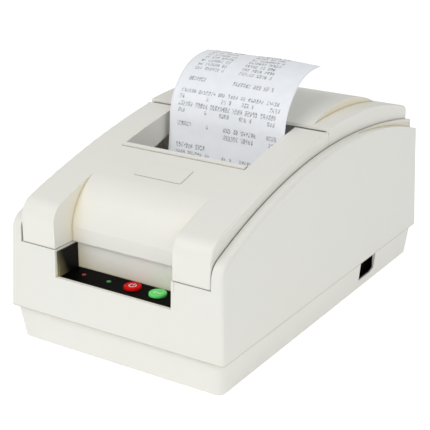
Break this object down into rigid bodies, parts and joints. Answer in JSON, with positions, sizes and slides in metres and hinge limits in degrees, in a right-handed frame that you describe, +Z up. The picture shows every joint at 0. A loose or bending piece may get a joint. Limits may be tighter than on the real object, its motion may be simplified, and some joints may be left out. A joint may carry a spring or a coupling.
{
  "type": "receipt printer",
  "caption": "Desktop impact receipt printer with two hinged covers, front keys, a print mechanism inside and a paper roll feeding a curled strip.",
  "frame": {"origin": "middle of the footprint on the plane of the rubber feet", "axes": "+X to the printer's right, +Y to its back, +Z up; the keys face -Y"},
  "size_m": [0.16, 0.272, 0.1604],
  "materials": {
    "case_shell": "fine moulded grain, off-white",
    "cover_shell": "smooth satin, warm ivory",
    "black_plastic": "fine grain, black",
    "grey_plastic": "fine grain, grey",
    "white_plastic": "smooth acetal",
    "label_film": "satin black overlay",
    "red_key": "glossy red with a white mark",
    "green_key": "glossy green with a white mark",
    "red_lens": "clear red lens",
    "green_lens": "clear green lens",
    "circuit_board": "green solder mask",
    "plated_steel": "zinc plated sheet",
    "ground_steel": "ground and polished",
    "head_metal": "cast and machined",
    "pinion_brass": "turned",
    "connector_metal": "tinned shell",
    "screw_steel": "zinc plated",
    "cable_film": "flat flexible cable",
    "belt_rubber": "toothed belt",
    "roller_rubber": "ground rubber",
    "foot_rubber": "soft foot",
    "ribbon_fabric": "inked nylon",
    "paper": "plain receipt paper",
    "core_card": "wound card tube"
  },
  "bodies": {
    "case": {"board_screws": "screw_steel", "carriage_belt": "belt_rubber", "carriage_motor": "plated_steel", "carriage_shaft": "ground_steel", "case_screws": "screw_steel", "control_board": "circuit_board", "control_label": "label_film", "control_panel": "black_plastic", "data_connector": "connector_metal", "drawer_jack": "black_plastic", "feed_motor": "plated_steel", "front_hinge_pins": "ground_steel", "green_led": "green_lens", "guide_rail": "plated_steel", "left_frame": "plated_steel", "lower_case": "case_shell", "main_board": "circuit_board", "mech_base": "plated_steel", "mech_screws": "screw_steel", "paper_web": "paper", "platen": "plated_steel", "power_socket": "black_plastic", "rear_hinge_pins": "ground_steel", "red_led": "red_lens", "ribbon": "ribbon_fabric", "ribbon_cassette": "black_plastic", "right_frame": "plated_steel", "rocker_housing": "black_plastic", "roll_cradle": "grey_plastic", "rubber_feet": "foot_rubber", "upper_case": "case_shell", "usb_connector": "connector_metal"},
    "front_cover": {"front_cover": "cover_shell", "badge_plate": "cover_shell", "tear_bar": "cover_shell"},
    "rear_cover": {"rear_cover": "cover_shell", "receipt": "paper"},
    "power_button": {"power_button": "red_key"},
    "feed_button": {"feed_button": "green_key"},
    "power_rocker": {"power_rocker": "black_plastic"},
    "carriage": {"carriage": "black_plastic", "print_head": "head_metal", "head_fins": "head_metal", "head_cable": "cable_film"},
    "drive_pulley": {"drive_pulley": "white_plastic"},
    "idler_pulley": {"idler_pulley": "white_plastic"},
    "feed_roller": {"feed_roller": "roller_rubber", "feed_gear": "white_plastic"},
    "motor_pinion": {"motor_pinion": "pinion_brass"},
    "pinch_rollers": {"pinch_rollers": "roller_rubber"},
    "paper_roll": {"paper_roll": "paper", "roll_core": "core_card"},
    "ribbon_knob": {"ribbon_knob": "white_plastic"}
  },
  "joints": [
    {"name": "front_cover_hinge", "type": "hinge", "parent": "case", "child": "front_cover", "pos_m": [0, 0.0036, 0.1227], "axis": [-1, 0, 0], "range_deg": [0, 75]},
    {"name": "rear_cover_hinge", "type": "hinge", "parent": "case", "child": "rear_cover", "pos_m": [0, 0.1302, 0.1002], "axis": [-1, 0, 0], "range_deg": [0, 75]},
    {"name": "power_button_press", "type": "slide", "parent": "case", "child": "power_button", "axis": [0, 0, -1], "range_m": [0, 0.0009], "stiffness_N_per_m": 900, "springref_m": -0.0005},
    {"name": "feed_button_press", "type": "slide", "parent": "case", "child": "feed_button", "axis": [0, 0, -1], "range_m": [0, 0.0009], "stiffness_N_per_m": 900, "springref_m": -0.0005},
    {"name": "power_rocker_tilt", "type": "hinge", "parent": "case", "child": "power_rocker", "pos_m": [0.071, 0.0597, 0.0153], "axis": [0, 0, -1], "range_deg": [0, 16]},
    {"name": "carriage_travel", "type": "slide", "parent": "case", "child": "carriage", "axis": [1, 0, 0], "range_m": [-0.02, 0.02]},
    {"name": "drive_pulley_spin", "type": "hinge", "parent": "case", "child": "drive_pulley", "pos_m": [0.04, -0.06, 0.052], "axis": [0, 0, 1], "range_deg": [-230, 230]},
    {"name": "idler_pulley_spin", "type": "hinge", "parent": "case", "child": "idler_pulley", "pos_m": [-0.04, -0.06, 0.052], "axis": [0, 0, 1], "range_deg": [-230, 230]},
    {"name": "feed_roller_spin", "type": "hinge", "parent": "case", "child": "feed_roller", "pos_m": [0, -0.0057, 0.056], "axis": [-1, 0, 0], "continuous": true},
    {"name": "motor_pinion_spin", "type": "hinge", "parent": "case", "child": "motor_pinion", "pos_m": [-0.062, 0.01748, 0.06221], "axis": [-1, 0, 0], "continuous": true},
    {"name": "pinch_rollers_spin", "type": "hinge", "parent": "case", "child": "pinch_rollers", "pos_m": [0, -0.0173, 0.056], "axis": [-1, 0, 0], "continuous": true},
    {"name": "paper_roll_spin", "type": "hinge", "parent": "case", "child": "paper_roll", "pos_m": [0.0013, 0.075, 0.078], "axis": [-1, 0, 0], "continuous": true},
    {"name": "ribbon_knob_turn", "type": "hinge", "parent": "case", "child": "ribbon_knob", "pos_m": [-0.034, -0.074, 0.096], "axis": [0, 0, -1], "continuous": true}
  ],
  "couplings": [
    {"joint": "drive_pulley_spin", "follows": "carriage_travel", "rad_per_m": -180.18},
    {"joint": "idler_pulley_spin", "follows": "carriage_travel", "rad_per_m": -180.18},
    {"joint": "feed_roller_spin", "follows": "paper_roll_spin", "ratio": 6.6667},
    {"joint": "motor_pinion_spin", "follows": "paper_roll_spin", "ratio": -20},
    {"joint": "pinch_rollers_spin", "follows": "paper_roll_spin", "ratio": -8}
  ]
}
